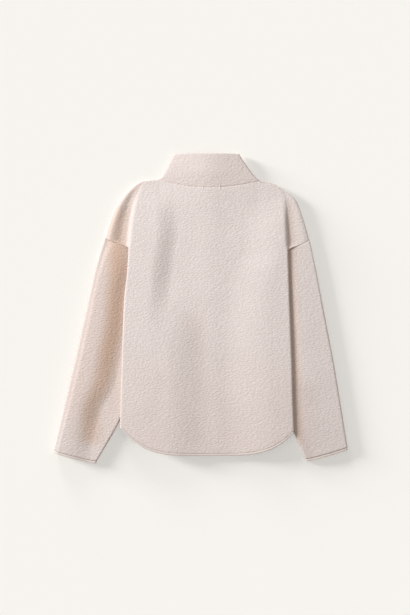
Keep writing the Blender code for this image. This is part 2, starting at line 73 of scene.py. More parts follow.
# At each side a row turns over the edge of the body, and ends on the shoulder line (rows 0 to 5),
# the armhole (5 to 10) or the side seam (10 to 15).
SIDES = {
    "left": {
        "sign": -1,  # the way that X runs out to this side
        "edge_out": (
            120, 153, 170, 179.5, 187.5, 191, 191.8, 192.6,
            194, 196, 203, 206.4, 209, 211.5, 213, 213.6,
        ),
        "edge_y": (
            17, 13, -16, -46, -92, -126, -135, -146,
            -172, -205, -268, -342, -424, -508, -571, -577,
        ),
        "end_out": (123, 157, 188, 213, 235.5, 246, 223, 193, 176, 163, 150, 152, 160, 172, 183, 184),
        "end_y": (17, 14, -6, -36, -84, -122, -133, -145, -172, -205, -268, -340, -420, -500, -564, -570),
        "top_z": (
            4.9, 4.9, 7.2, 10.8, 13.2, 13.8, 13.8, 13.8,
            13.8, 13.8, 13.8, 13.8, 13.8, 13.8, 13.5, 13.3,
        ),
        "turned_z": (4.7, 4.7, 4.7, 4.6, 4.5, 4.5, 5.0, 9.0, 9.3, 9.3, 9.3, 9.3, 9.3, 9.3, 9.0, 8.8),
        "puff_z": 6.0,  # how far the cloth out over the shoulder swells off the table
        # The long soft slopes that run down the back beside the turned edge: one below the shoulder, and
        # one from the middle of the back to the hem.
        "upper_y": (-300, -246, -174, -102, -13, 20),
        "upper_out": (122, 118, 109, 100, 103, 104),
        "upper_half": 27,
        "lower_y": (-640, -462, -300),
        "lower_out": (46, 50, 56),
        "lower_half": 54,
    },
    "right": {
        "sign": 1,
        "edge_out": (
            122, 147, 181.5, 184, 185.5, 187.5, 188.2, 189,
            189.8, 190.8, 192.8, 195.5, 198.5, 200.8, 203.8, 204.2,
        ),
        "edge_y": (
            14, 9.5, -18, -48, -90, -128, -137, -150,
            -174, -206, -268, -342, -424, -509, -583, -589,
        ),
        "end_out": (125, 150, 185, 207, 226, 238, 222, 190, 174, 161, 148, 150, 158, 168, 176, 177),
        "end_y": (14, 10, -11, -31, -80, -126, -136, -150, -174, -206, -268, -340, -420, -500, -572, -578),
        "top_z": (
            4.9, 4.9, 5.2, 8.7, 12.6, 13.8, 13.8, 13.8,
            13.8, 13.8, 13.8, 13.8, 13.8, 13.8, 13.5, 13.3,
        ),
        "turned_z": (4.7, 4.7, 4.7, 4.6, 4.5, 4.5, 5.0, 9.0, 9.3, 9.3, 9.3, 9.3, 9.3, 9.3, 9.0, 8.8),
        "puff_z": 1.2,
        "upper_y": (-300, -268, -205, -150, -60, 20),
        "upper_out": (94, 96, 104, 128, 132, 124),
        "upper_half": 52,
        "lower_y": (-640, -420, -300),
        "lower_out": (104, 90, 86),
        "lower_half": 60,
    },
}
# The sleeves, from the armhole (0) to the cuff seam (1).
SLEEVES = {
    "left": {
        "along": (0, 0.1, 0.2, 0.4, 0.6, 0.8, 1),
        "outer_out": (246, 261, 275.5, 300, 324, 348, 371.5),
        "outer_y": (-124, -173, -224, -329, -433, -536, -631),
        "inner_out": (150, 158, 164, 170, 182, 214, 269),
        "inner_y": (-270, -299, -332, -408, -483, -559, -658),
        "fold_z": (0.3, 5.5, 8, 9.5, 9.5, 9, 6),
        "ridge_z": (4.6, 8.5, 10.5, 12, 12, 11.5, 8),
        "ridge_across": (0.2, 0.12, 0.1, 0.1, 0.1, 0.1, 0.1),
        "trough_across": (0.4, 0.55, 0.64, 0.7, 0.7, 0.64, 0.84),
    },
    "right": {
        "along": (0, 0.1, 0.2, 0.4, 0.6, 0.8, 1),
        "outer_out": (238, 249, 260.5, 281, 300.5, 317.5, 332),
        "outer_y": (-128, -176, -226, -327, -430, -533, -624),
        "inner_out": (148, 160, 165, 169, 177, 196, 231),
        "inner_y": (-270, -298, -332, -408, -483, -565, -653),
        "fold_z": (0, 0.4, 0.6, 0.8, 0.8, 1, 1),
        "ridge_z": (0.3, 1.1, 1.5, 1.6, 1.6, 1.8, 2.2),
        "ridge_across": (0.3, 0.36, 0.4, 0.44, 0.46, 0.5, 0.5),
        "trough_across": (0.56, 0.58, 0.62, 0.66, 0.72, 0.82, 0.86),
    },
}
COLLAR = {"top_y": 79.0, "front_top_y": 22.0, "left_top_out": 84.0, "right_top_out": 72.0, "arch": 5.0}
ZIP_HALF_SPACE = 5.5  # from the centre front to the edge of each front


def through(xs, ys, x):
    """A smooth line through the rows of a table, that never overshoots them."""
    xs, ys = np.array(xs, float), np.array(ys, float)
    step = np.diff(xs)
    slope = np.diff(ys) / step
    m = np.concatenate([slope[:1], np.zeros(len(xs) - 2), slope[-1:]])
    for i in range(1, len(xs) - 1):
        if slope[i - 1] * slope[i] > 0:
            m[i] = 2 * slope[i - 1] * slope[i] / (slope[i - 1] + slope[i])
    x = np.clip(np.asarray(x, float), xs[0], xs[-1])
    i = np.clip(np.searchsorted(xs, x, side="right") - 1, 0, len(xs) - 2)
    t = (x - xs[i]) / step[i]
    start = ys[i] * (1 + 2 * t) * (1 - t) ** 2 + m[i] * step[i] * t * (1 - t) ** 2
    end = ys[i + 1] * t * t * (3 - 2 * t) - m[i + 1] * step[i] * t * t * (1 - t)
    return start + end


def ease(low, high, x):
    t = np.clip((x - low) / (high - low), 0, 1)
    return t * t * (3 - 2 * t)


def row(side, column, v):
    return through(BODY["row"], SIDES[side][column], v)


def arch(x, y):
    """The neck and collar stand a little off the table in the middle."""
    return COLLAR["arch"] * np.clip(1 - (x / 118) ** 2, 0, 1) * ease(-110, 5, y)


def back_z(side, out, y, v):
    """The inner face of the back's upper layer."""
    s = SIDES[side]
    upper, lower = (through(s[part + "_y"], s[part + "_out"], y) for part in ("upper", "lower"))
    half = s["upper_half"], s["lower_half"]
    share = ease(-370, -215, y)
    climb = share * ease(upper - half[0], upper + half[0], out)
    climb = climb + (1 - share) * ease(lower - half[1], lower + half[1], out)
    base = 4.6 + 1.2 * np.exp(-((out / 35) ** 2))
    return base + (row(side, "top_z", v) - base) * climb


def front_z(side, out, y, v):
    """The outer face of a front, which rests on the table and follows the back's larger folds."""
    t = back_z(side, out, y, v) - 8.1
    lift = np.maximum(0.5 * (t + np.sqrt(t * t + 1)) - 0.12, 0)
    reach = np.minimum(row(side, "edge_out", v), row(side, "end_out", v))
    held = ease(reach - 48, reach - 14, out)
    return lift * (1 - (1 - ease(10, 10.8, v)) * held)


def half_back(side, c, v):
    """The middle surface of half of the back: 0 to 1 from its centre to its edge, 1 to 2 over the edge
    and 2 to 3 beneath it, or out over the shoulder."""
    edge, edge_y = row(side, "edge_out", v), row(side, "edge_y", v)
    end, end_y = row(side, "end_out", v), row(side, "end_y", v)
    centre_y = through(BODY["row"], BODY["back_y"], v)
    bow = through(BODY["row"], BODY["bow"], v)
    top = row(side, "top_z", v) + FLEECE / 2
    low = row(side, "turned_z", v) + FLEECE / 2
    k = np.clip((end - edge) / 20, -1, 1)
    outward, inward = np.maximum(k, 0), np.maximum(-k, 0)
    short = 1 - np.abs(k)
    x0 = edge - 4.25 - 3.75 * outward
    x1 = edge - 1.5 + 2 * outward + 0.25 * inward
    x2 = edge - 2 + 1.5 * outward + 0.75 * inward
    x3 = edge - 2 + 10 * outward - 2.25 * inward
    z3 = low + np.minimum(3, 0.35 * (top - low)) * short
    last = end - 2 * short + 0.7 * inward
    # the upper layer
    on = np.clip(c, 0, 1)
    out = x0 * on
    y = centre_y + (edge_y - centre_y) * on**bow
    z = back_z(side, out, y, v) + FLEECE / 2
    # over the edge
    t = np.clip(c - 1, 0, 1)
    bend = (1 - t) ** 3, 3 * t * (1 - t) ** 2, 3 * t * t * (1 - t), t**3
    out = np.where(c > 1, bend[0] * x0 + bend[1] * x1 + bend[2] * x2 + bend[3] * x3, out)
    z = np.where(c > 1, (bend[0] + bend[1]) * top + (bend[2] + bend[3]) * z3, z)
    # beneath it, or out over the shoulder
    t = np.clip(c - 2, 0, 1)
    seam_z = front_z(side, end, end_y, v) + FLEECE / 2
    seam_z = low + (seam_z - low) * ease(10, 10.8, v)
    tail = x3 + (last - x3) * t
    down = ease(end + 10.5, end, tail) * (k < 0)
    tail_z = np.where(short > 0, z3 + (low - z3) * t, low) + (seam_z - low) * down
    puff = SIDES[side]["puff_z"] * ease(1.2, 4, v) * (1 - ease(5, 6.2, v))
    tail_z = tail_z + outward * puff * ease(0.2, 0.78, t) * (1 - ease(0.8, 1, t))
    at_seam = swell(side, (v - 5) / 5, 0 * v, 110) * (v > 5) * (1 - ease(6.2, 6.9, v))
    tail_z = tail_z + outward * at_seam * ease(0.2, 1, t)
    out = np.where(c > 2, tail, out)
    z = np.where(c > 2, tail_z, z)
    y = np.where(c > 2, edge_y + (end_y - edge_y) * t, y)
    x = SIDES[side]["sign"] * out
    return np.stack([x, y, z + arch(x, y)], -1)


def half_front(side, c, v):
    """The middle surface of one front: 0 to 1 from its front edge to the shoulder, armhole or side seam."""
    end, end_y = row(side, "end_out", v) - SEAM, row(side, "end_y", v)
    centre_y = through(BODY["row"], BODY["front_y"], v)
    out = ZIP_HALF_SPACE + (end - ZIP_HALF_SPACE) * c
    on = np.clip(out / (end + SEAM - NECK_TURN * (1 - ease(0, 1.5, v))), 0, 1)
    y = centre_y + (end_y - centre_y) * on ** through(BODY["row"], BODY["bow"], v)
    z = front_z(side, out, y, v) + FLEECE / 2
    x = SIDES[side]["sign"] * out
    return np.stack([x, y, z + arch(x, y)], -1)


def armhole(side, across):
    """The armhole from the end of the shoulder (0) to the underarm (1)."""
    v = 5 + 5 * across
    return row(side, "end_out", v), row(side, "end_y", v)


def outer_fold(side, v):
    """How high the sleeve's outer fold swells, how far it is lifted off the table, its curve's handles and
    where the upper layer starts."""
    swelling = through(SLEEVES[side]["along"], SLEEVES[side]["fold_z"], v)
    lift = np.maximum(swelling - 5, 0)
    handle = np.sqrt(1.533 * (4.3 + swelling - lift))
    return swelling, lift, handle, FLEECE / 2 + 0.75 * handle


def swell(side, across, v, width):
    """How far the sleeve's upper layer stands above two flat layers: a ridge beside the outer fold, then a
    slope that steepens down to the trough beside the body."""
    s = SLEEVES[side]
    fold, _, _, start = outer_fold(side, v)
    ridge, trough = (through(s["along"], s[c], v) for c in ("ridge_across", "trough_across"))
    height = through(s["along"], s["ridge_z"], v)
    rise = fold + (height - fold) * ease(start / width, ridge, across)
    run = np.clip((across - ridge) / (trough - ridge), 0, 1)
    reach = 1.2 - 0.2 * ease(0.6, 0.75, v)
    return rise * (1 - ease(0, reach, run**1.6) / ease(0, reach, 1.0))


def sleeve(side, loop, v, beyond=0.0):
    """The middle surface of a sleeve. loop runs 0 to 1 over the top from the outer edge to the inner one,
    1 to 2 round the inner edge, 2 to 3 back beneath and 3 to 4 round the outer edge."""
    s = SLEEVES[side]

    def at(column):
        return through(s["along"], s[column], v)

    outer = np.stack([at("outer_out"), at("outer_y")], -1)
    inner = np.stack([at("inner_out"), at("inner_y")], -1)
    width = np.linalg.norm(inner - outer, axis=-1)
    r = (FLEECE + SEAM) / 2
    edge = r + FLEECE / 2
    fold, lift, handle, start = outer_fold(side, v)
    turn = (loop % 1) * math.pi
    on = np.where(loop <= 1, loop, np.clip(3 - loop, 0, 1))
    p = start + (width - start - edge) * on
    p = np.where((loop > 1) & (loop < 2), width - edge + r * np.sin(turn), p)
    t = np.clip(loop - 3, 0, 1)
    p = np.where(loop > 3, start - 3 * handle * t * (1 - t), p)
    across = p / width
    lumen = swell(side, across, v, width)
    top = FLEECE / 2 + 2 * r + lumen
    bottom = FLEECE / 2 + np.maximum(lumen - 5, 0)
    z = np.where(loop <= 1, top, bottom)
    z = np.where((loop > 1) & (loop < 2), FLEECE / 2 + r + r * np.cos(turn), z)
    low, high = FLEECE / 2 + lift, FLEECE / 2 + 2 * r + fold
    z = np.where(loop > 3, low + (high - low) * t * t * (3 - 2 * t), z)
    plan = outer + (inner - outer) * across[..., None]
    begin = np.stack(armhole(side, across), -1)
    chord_out = s["outer_out"][0] + (s["inner_out"][0] - s["outer_out"][0]) * across
    chord_y = s["outer_y"][0] + (s["inner_y"][0] - s["outer_y"][0]) * across
    plan = plan + (begin - np.stack([chord_out, chord_y], -1)) * (1 - ease(0, 0.35, v))[..., None]
    # clear of the armhole, and on past the cuff seam for the binding
    further = np.stack(armhole(side, np.clip(across + 0.01, 0, 1)), -1)
    along_seam = unit(further - np.stack(armhole(side, np.clip(across - 0.01, 0, 1)), -1))
    away = np.stack([-along_seam[..., 1], along_seam[..., 0]], -1)
    clear = (1.2 + 0.2 * lumen + 1.9 * across**8) * (1 - ease(0, 0.3, v))
    axis = np.array([s["outer_out"][-1] - s["outer_out"][-2], s["outer_y"][-1] - s["outer_y"][-2]])
    axis = axis / np.linalg.norm(axis)
    corner = 3.6 * (np.exp(-p / 6) + np.exp(-(width - p) / 6)) * ease(0.85, 1, v)
    plan = plan + away * clear[..., None] + axis * (beyond - corner)[..., None]
    return np.stack([SIDES[side]["sign"] * plan[..., 0], plan[..., 1], z], -1)


def collar(u, w):
    """The middle surface of the collar. u runs from the right front edge (-2) round the right side (-1),
    across the back (0), round the left side (1) to the left front edge (2); w runs up it from the neck."""
    size = COLLAR
    side = np.where(u < 0, 1, -1)
    foot = np.where(u < 0, SIDES["right"]["end_out"][0], SIDES["left"]["end_out"][0]) - NECK_TURN + 4.15
    foot_y = np.where(u < 0, SIDES["right"]["end_y"][0], SIDES["left"]["end_y"][0])
    top = np.where(u < 0, size["right_top_out"], size["left_top_out"])
    edge = foot + (top - foot) * w**0.8
    r = (FLEECE + SEAM) / 2
    bend = r + FLEECE / 2
    a = np.abs(u)
    turn = np.clip((a - 0.9) / 0.2, 0, 1) * math.pi
    on_back = np.clip(a / 0.9, 0, 1)
    on_front = np.clip((a - 1.1) / 0.9, 0, 1)
    out = (edge - bend) * on_back + r * np.sin(turn)
    out = np.where(a > 1.1, (edge - bend) + (ZIP_HALF_SPACE - edge + bend) * on_front, out)
    share = np.clip(out / (edge - bend), 0, 1)
    foot_back = -1 + (foot_y + 1) * share**2
    top_back = size["top_y"] - 1.5 * share**4
    back_y = foot_back + (top_back - foot_back) * w
    foot_front = BODY["front_y"][0] + (foot_y - BODY["front_y"][0]) * share**2
    top_front = size["front_top_y"] + (top_back - size["front_top_y"]) * share**1.6
    front_y = foot_front + (top_front - foot_front) * w
    y = np.where(a < 1, back_y, front_y)
    crown = 3.4 * (1 - share**2) * ease(0, 0.5, w)
    z = FLEECE / 2 + r + r * np.cos(turn) + np.where(a < 1, 1, 0) * (0.25 + crown)
    base = 1.2 * np.exp(-((out / 35) ** 2))
    z = z + np.where(a < 1, base, 0)
    x = side * out
    return np.stack([x, y + 4.5 * SEAM, z + arch(x, y)], -1)


def unit(v):
    return v / np.maximum(np.linalg.norm(v, axis=-1, keepdims=True), 1e-12)


def tangents(grid, axis, closed):
    """The direction of each point along one axis of a grid, halfway between its two neighbours."""
    ahead = unit(np.roll(grid, -1, axis) - grid)
    behind = np.roll(ahead, 1, axis)
    if not closed:
        first = [slice(None)] * 3
        last = [slice(None)] * 3
        first[axis], last[axis] = 0, -1
        behind[tuple(first)] = ahead[tuple(first)]
        ahead[tuple(last)] = behind[tuple(last)]
    return unit(ahead + behind), np.sqrt(np.clip((1 + (ahead * behind).sum(-1)) / 2, 0.25, 1))


def wall(grid, thick, closed=False):
    """Both faces of a cloth whose middle surface is a grid (across, along, xyz)."""
    across, corner = tangents(grid, 0, closed)
    along, _ = tangents(grid, 1, False)
    normal = unit(np.cross(across, along))
    half = (thick / 2 / corner)[..., None]
    return grid + normal * half, grid - normal * half


def grid_of(function, us, vs):
    u, v = np.meshgrid(np.array(us, float), np.array(vs, float), indexing="ij")
    return function(u, v)


def steps(*spans):
    """Values that run through spans of (first, last, number of steps)."""
    values = [spans[0][0]]
    for first, last, n in spans:
        values += list(np.linspace(first, last, n + 1)[1:])
    return values


def back_grid(half, rows):
    left = grid_of(lambda c, v: half_back("left", c, v), half[::-1], rows)
    right = grid_of(lambda c, v: half_back("right", c, v), half[1:], rows)
    return np.concatenate([left, right])


def zip_grid(section, side, rows):
    """Half of the zip: a section of (out, z) points drawn along the centre front."""
    y = np.array(rows, float)
    out, z = np.array(section, float).T
    grid = np.zeros((len(section), len(rows), 3))
    grid[..., 0] = side * out[:, None]
    grid[..., 1] = y
    grid[..., 2] = z[:, None] + arch(0.0, y)
    return grid


def curls(points, pitch, seed):
    """The height of the pile, 0 to 1: a round curl about one scattered point in each cell of space."""
    cell = np.floor(points / pitch).astype(np.int64)
    nearest = np.full(points.shape[:-1], 9.0)
    for step in np.ndindex(3, 3, 3):
        c = cell + np.array(step) - 1
        h = (c[..., 0] * 73856093) ^ (c[..., 1] * 19349663) ^ (c[..., 2] * 83492791) ^ seed
        jitter = np.stack([((h * k) % 1000003) / 1000003 for k in (2654435761, 40503, 2246822519)], -1)
        nearest = np.minimum(nearest, np.linalg.norm(points / pitch - (c + jitter), axis=-1))
    return np.clip(1 - (nearest / 0.8) ** 2, 0, 1)


def from_edges(grid, closed):
    """How far each point of a grid is from the grid's nearest edge, measured along the cloth."""
    along = np.linalg.norm(np.diff(grid, axis=1), axis=-1)
    first = np.concatenate([np.zeros((len(grid), 1)), np.cumsum(along, 1)], 1)
    near = np.minimum(first, first[:, -1:] - first)
    if not closed:
        across = np.linalg.norm(np.diff(grid, axis=0), axis=-1)
        first = np.concatenate([np.zeros((1, grid.shape[1])), np.cumsum(across, 0)], 0)
        near = np.minimum(near, np.minimum(first, first[-1:] - first))
    return near


def mesh_of(name, points, quads, look):
    """A smooth object of one material, made of quads between points in millimetres."""
    mesh = bpy.data.meshes.new(name)
    mesh.vertices.add(len(points))
    mesh.vertices.foreach_set("co", ((points + np.array(PLACED)) * MM).astype(np.float32).ravel())
    mesh.loops.add(quads.size)
    mesh.loops.foreach_set("vertex_index", quads.astype(np.int32).ravel())
    mesh.polygons.add(len(quads))
    mesh.polygons.foreach_set("loop_start", np.arange(len(quads), dtype=np.int32) * quads.shape[1])
    mesh.polygons.foreach_set("use_smooth", np.ones(len(quads), bool))
    mesh.update(calc_edges=True)
    mesh.validate()
    mesh.materials.append(look)
    o = bpy.data.objects.new(name, mesh)
    bpy.context.collection.objects.link(o)
    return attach(o, "root")


def met(grid, ends=(0.0, 0.0), sides=(0.0, 0.0)):
    """A grid with its first and last rows, and first and last columns, moved out to meet their neighbours."""
    grid = grid.copy()
    for axis, (first, last) in ((1, ends), (0, sides)):
        g = np.moveaxis(grid, axis, 0)
        g[0] += unit(g[0] - g[1]) * first
        g[-1] += unit(g[-1] - g[-2]) * last
    return grid


def cloth(name, grid, thick, look, closed=False, pile=NUB, groove=0.3, reach=2.4, painted_shade_maps=None):
    """A piece of cloth round the middle surface of a grid: piled outer face, plainer inner face, and edges
    that draw in a little, and unevenly, toward their seams."""
    uneven = 0.35 + 1.3 * curls(grid, BIG_CURL, 53) if pile else 1.0
    drawn_in = groove * uneven * np.exp(-((from_edges(grid, closed) / reach) ** 2))
    upper, lower = wall(grid, np.full(grid.shape[:2], 2.0), closed)
    normal = (upper - lower) / 2
    half = thick / 2 - drawn_in
    if pile:
        outer = half - pile + pile * (0.8 * curls(grid, BIG_CURL, 7) + 0.35 * curls(grid, SMALL_CURL, 31))
    else:
        outer = half
    upper = grid + normal * outer[..., None]
    lower = grid - normal * (half - 0.25 * pile)[..., None]
    n, m = grid.shape[:2]
    points = np.concatenate([upper.reshape(-1, 3), lower.reshape(-1, 3)])
    i, j = np.meshgrid(np.arange(n if closed else n - 1), np.arange(m - 1), indexing="ij")
    a, b = (i * m + j).ravel(), (((i + 1) % n) * m + j).ravel()
    base = n * m
    quads = [np.stack([a, b, b + 1, a + 1], 1), np.stack([a, a + 1, b + 1, b], 1) + base]
    rims = [(np.arange(n) * m, closed, True), (np.arange(n) * m + m - 1, closed, False)]
    if not closed:
        rims += [(np.arange(m), False, False), (np.arange(m) + (n - 1) * m, False, True)]
    for line, round_it, flip in rims:
        p, q = (line, np.roll(line, -1)) if round_it else (line[:-1], line[1:])
        if flip:
            p, q = q, p
        quads.append(np.stack([p, q, q + base, p + base], 1))
    quads = np.concatenate(quads)
    t = quads[:, [0, 1, 2]]
    if (points[t[:, 0]] * np.cross(points[t[:, 1]], points[t[:, 2]])).sum() < 0:
        quads = quads[:, ::-1]
    o = mesh_of(name, points, quads, look)
    # per-point painted shade, which the fleece's material reads
    for key, values in (painted_shade_maps or {}).items():
        made = o.data.attributes.new(key, "FLOAT", "POINT").data
        made.foreach_set("value", np.tile(np.broadcast_to(values, grid.shape[:2]).ravel(), 2))
    return o


def fold_shade_mask(grid, *folds):
    """How much shade is painted at each point of a grid for any of some folds, from 0 to 1."""
    painted_shade = np.zeros(grid.shape[:2])
    for name in folds:
        fold = SHADE_FOLDS[name]
        middle = through(fold["y"], fold["x"], grid[..., 1])
        near = np.exp(-(((grid[..., 0] - middle) / fold["half"]) ** 2))
        first, last = fold["y"][0], fold["y"][-1]
        ends = ease(first - 40, first, grid[..., 1]) * (1 - ease(last, last + 40, grid[..., 1]))
        depth = np.interp(grid[..., 1], fold["y"], np.broadcast_to(fold["depth"], len(fold["y"])))
        painted_shade = np.maximum(painted_shade, depth * near * ends)
    return painted_shade


def edge_shade_mask(grid, side, half):
    """How near each point of a grid is to the outer edge of the laid garment, from 0 to 1, where shade is
    painted over the turn of the cloth."""
    s = SLEEVES[side]
    y = grid[..., 1]
    shoulder = through(SIDES[side]["edge_y"][1:6][::-1], SIDES[side]["end_out"][1:6][::-1], y)
    outer = through(s["outer_y"][::-1], s["outer_out"][::-1], y)
    out = np.where(y < s["outer_y"][0], outer, shoulder)
    away = np.abs(np.abs(grid[..., 0]) - out)
    return np.exp(-((away / half) ** 2))


def even_rows(first, last, spacing, panel):
    """Row values whose rows lie about the same distance apart, at the centre or at the ends."""
    values = [first]
    rows = [first] + [r for r in BODY["row"] if first < r < last] + [last]
    for a, b in zip(rows[:-1], rows[1:]):
        centre = abs(np.diff(through(BODY["row"], BODY[panel], [a, b]))[0])
        ends = math.hypot(*(np.diff(row("left", c, [a, b]))[0] for c in ("end_out", "end_y")))
        n = max(1, math.ceil(max(centre, ends) / spacing))
        values += list(np.linspace(a, b, n + 1)[1:])
    return values


def nodes_of(name, rough):
    """A new material, with its tree of nodes and its shader."""
    m = bpy.data.materials.new(name)
    m.use_nodes = True
    shader = m.node_tree.nodes["Principled BSDF"]
    shader.inputs["Roughness"].default_value = rough
    return m, m.node_tree, shader


def add(tree, kind, **inputs):
    """A node with its inputs set by name."""
    node = tree.nodes.new(kind)
    for key, value in inputs.items():
        node.inputs[key.replace("_", " ")].default_value = value
    return node


def ramp(tree, source, stops):
    """Colours at given places along a value."""
    node = tree.nodes.new("ShaderNodeValToRGB")
    while len(node.color_ramp.elements) < len(stops):
        node.color_ramp.elements.new(0.5)
    for element, (place, colour) in zip(node.color_ramp.elements, stops):
        element.position = place
        element.color = (*colour, 1)
    tree.links.new(source, node.inputs["Fac"])
    return node


def fleece_look():
    """Teddy fleece: short crimped wisps that lie across the cloth, paler on top and warmer between."""
    m, tree, shader = nodes_of("fleece_pile", 0.95)
    link = tree.links.new
    where = tree.nodes.new("ShaderNodeTexCoord")
    bend = add(tree, "ShaderNodeTexNoise", Scale=110.0, Detail=2.0)
    link(where.outputs["Object"], bend.inputs["Vector"])
    shift = tree.nodes.new("ShaderNodeVectorMath")
    shift.operation = "MULTIPLY_ADD"
    shift.inputs[1].default_value = (BEND, BEND, BEND)
    link(bend.outputs["Color"], shift.inputs[0])
    link(where.outputs["Object"], shift.inputs[2])
    lie = add(tree, "ShaderNodeMapping", Scale=CRIMP)
    link(shift.outputs["Vector"], lie.inputs["Vector"])
    crimp = add(tree, "ShaderNodeTexNoise", Scale=1000 / CURL, Detail=2.0, Roughness=0.55)
    link(lie.outputs["Vector"], crimp.inputs["Vector"])
    curl = add(tree, "ShaderNodeTexVoronoi", Scale=1000 / CURL)
    curl.feature = "SMOOTH_F1"
    curl.inputs["Smoothness"].default_value = 0.6
    link(lie.outputs["Vector"], curl.inputs["Vector"])
    fibre = add(tree, "ShaderNodeTexNoise", Scale=900.0, Detail=3.0, Roughness=0.6)
    link(where.outputs["Object"], fibre.inputs["Vector"])
    broad = add(tree, "ShaderNodeTexNoise", Scale=14.0, Detail=2.0)
    link(where.outputs["Object"], broad.inputs["Vector"])
    round_up = tree.nodes.new("ShaderNodeMath")
    round_up.operation = "SUBTRACT"
    link(crimp.outputs["Fac"], round_up.inputs[0])
    link(curl.outputs["Distance"], round_up.inputs[1])
    tone = ramp(tree, round_up.outputs["Value"], FLEECE_TONES)
    soft = ramp(tree, broad.outputs["Fac"], CLOUDS)
    mix = tree.nodes.new("ShaderNodeMix")
    mix.data_type = "RGBA"
    mix.blend_type = "MULTIPLY"
    mix.inputs["Factor"].default_value = 1.0
    link(tone.outputs["Color"], mix.inputs["A"])
    link(soft.outputs["Color"], mix.inputs["B"])
    colour = mix
    # painted shade: the colour is darkened by two per-point attributes, warmly in the folds and creases, and
    # in grey over the turns of edges and in shallow folds
    for key, shade in (("painted_shade", WARM_SHADE_PAINT), ("painted_grey_shade", GREY_SHADE_PAINT)):
        where_so = tree.nodes.new("ShaderNodeAttribute")
        where_so.attribute_name = key
        shaded = tree.nodes.new("ShaderNodeMix")
        shaded.data_type = "RGBA"
        shaded.blend_type = "MULTIPLY"
        shaded.inputs["B"].default_value = (*shade, 1)
        link(where_so.outputs["Fac"], shaded.inputs["Factor"])
        link(colour.outputs["Result"], shaded.inputs["A"])
        colour = shaded
    link(colour.outputs["Result"], shader.inputs["Base Color"])
    fine = add(tree, "ShaderNodeBump", Strength=0.2, Distance=0.0005)
    link(fibre.outputs["Fac"], fine.inputs["Height"])
    bump = add(tree, "ShaderNodeBump", Strength=0.55, Distance=0.0015)
    link(round_up.outputs["Value"], bump.inputs["Height"])
    link(fine.outputs["Normal"], bump.inputs["Normal"])
    link(bump.outputs["Normal"], shader.inputs["Normal"])
    shader.inputs["Sheen Weight"].default_value = 0.05
    shader.inputs["Sheen Roughness"].default_value = 0.6
    shader.inputs["Specular IOR Level"].default_value = 0.1
    return m


def woven_look(name, colour, thread, rough, metal=0.0):
    """Fine woven tape or thread: ribs of one thread's width across a plain colour."""
    m, tree, shader = nodes_of(name, rough)
    link = tree.links.new
    where = tree.nodes.new("ShaderNodeTexCoord")
    rib = add(tree, "ShaderNodeTexWave", Scale=1000 / thread / math.tau, Distortion=1.5, Detail=1.0)
    link(where.outputs["Object"], rib.inputs["Vector"])
    grain = add(tree, "ShaderNodeTexNoise", Scale=700.0, Detail=2.0)
    link(where.outputs["Object"], grain.inputs["Vector"])
    dark = tuple(c * 0.86 for c in colour)
    tone = ramp(tree, grain.outputs["Fac"], ((0.35, dark), (0.65, colour)))
    link(tone.outputs["Color"], shader.inputs["Base Color"])
    bump = add(tree, "ShaderNodeBump", Strength=0.35, Distance=0.0003)
    link(rib.outputs["Fac"], bump.inputs["Height"])
    link(bump.outputs["Normal"], shader.inputs["Normal"])
    shader.inputs["Metallic"].default_value = metal
    return m


# from the ground between the wisps to their tops, with how high each tone lies
FLEECE_TONES = ((0.0, (0.76, 0.665, 0.62)), (0.25, (0.807, 0.719, 0.685)), (0.6, (0.825, 0.74, 0.71)))
CLOUDS = ((0.3, (0.965, 0.965, 0.965)), (0.7, (1.0, 1.0, 1.0)))  # broad soft patches over them
CRIMP = (0.6, 1.25, 1.0)  # how much closer together the wisps are across the cloth, up it and through it
BEND = 0.0035  # how far the wisps bend aside, in metres
WARM_SHADE_PAINT = (0.85, 0.68, 0.55)  # painted shade: how much darker and warmer the colour is painted in the folds and creases
GREY_SHADE_PAINT = (0.70, 0.70, 0.70)  # painted shade: how much darker, in grey, the colour is painted over the turn of an edge and in shallow folds
BINDING_COLOUR = (0.80, 0.685, 0.625)
TAPE_COLOUR = (0.72, 0.60, 0.55)
THREAD_COLOUR = (0.74, 0.62, 0.57)
METAL_COLOUR = (0.72, 0.68, 0.66)
TACK_COLOUR = (0.88, 0.82, 0.79)
# The foot of the collar dips under the edge of the back, so that the edge stands up as a soft ridge.
NECK_DIP = 0.7
DIP_REACH = 7.0
COLLAR_RISE = 5.8  # how high the underside of the collar is, just above the neck seam
TACKS = (("left", -14.4), ("right", 26.4))  # how far along the neck seam each tack is
TACK_SUNK = 0.45
STITCH = 3.4  # from one stitch to the next
STITCH_SUNK = 0.6
TOOTH = 1.6  # from one tooth of the coil to the next
COIL_LOW, COIL_HIGH = -638.0, 12.0


def tack_z(x, y):
    """The top of the cloth of the collar or the back at a point beside the neck seam."""
    side, out = ("right", x) if x > 0 else ("left", -x)
    if y < 0:
        above = back_z(side, out, y, 0.0)
    else:
        above = COLLAR_RISE - NECK_DIP * math.exp(-((y / DIP_REACH) ** 2))
    return float(FLEECE + above + arch(x, y)) - TACK_SUNK


def bars(name, points, ahead, normals, look, long=2.2, wide=0.45):
    """A row of stitches or zip teeth: a short rounded bar at each point, lying along its own direction."""
    side = unit(np.cross(normals, ahead))
    made, quads = [], []
    ring = [(math.cos(t), math.sin(t)) for t in np.linspace(0, 2 * math.pi, 7)[:-1]]
    # how far along the bar each section is, and its size
    places = ((-0.5, 0.2), (-0.36, 0.9), (0, 1.1), (0.36, 0.9), (0.5, 0.2))
    for p, f, s, n in zip(points, ahead, side, normals):
        base = len(made)
        for at, size in places:
            for a, b in ring:
                made.append(p + f * long * at + (s * a + n * b) * wide * size)
        for k in range(len(places) - 1):
            here = base + k * 6
            for r in range(6):
                q = (r + 1) % 6
                quads.append([here + r, here + q, here + 6 + q, here + 6 + r])
        quads.append([base + 3, base + 2, base + 1, base])
        quads.append([base + 0, base + 5, base + 4, base + 3])
        last = base + 24
        quads.append([last, last + 1, last + 2, last + 3])
        quads.append([last + 3, last + 4, last + 5, last])
    return mesh_of(name, np.array(made), np.array(quads), look)


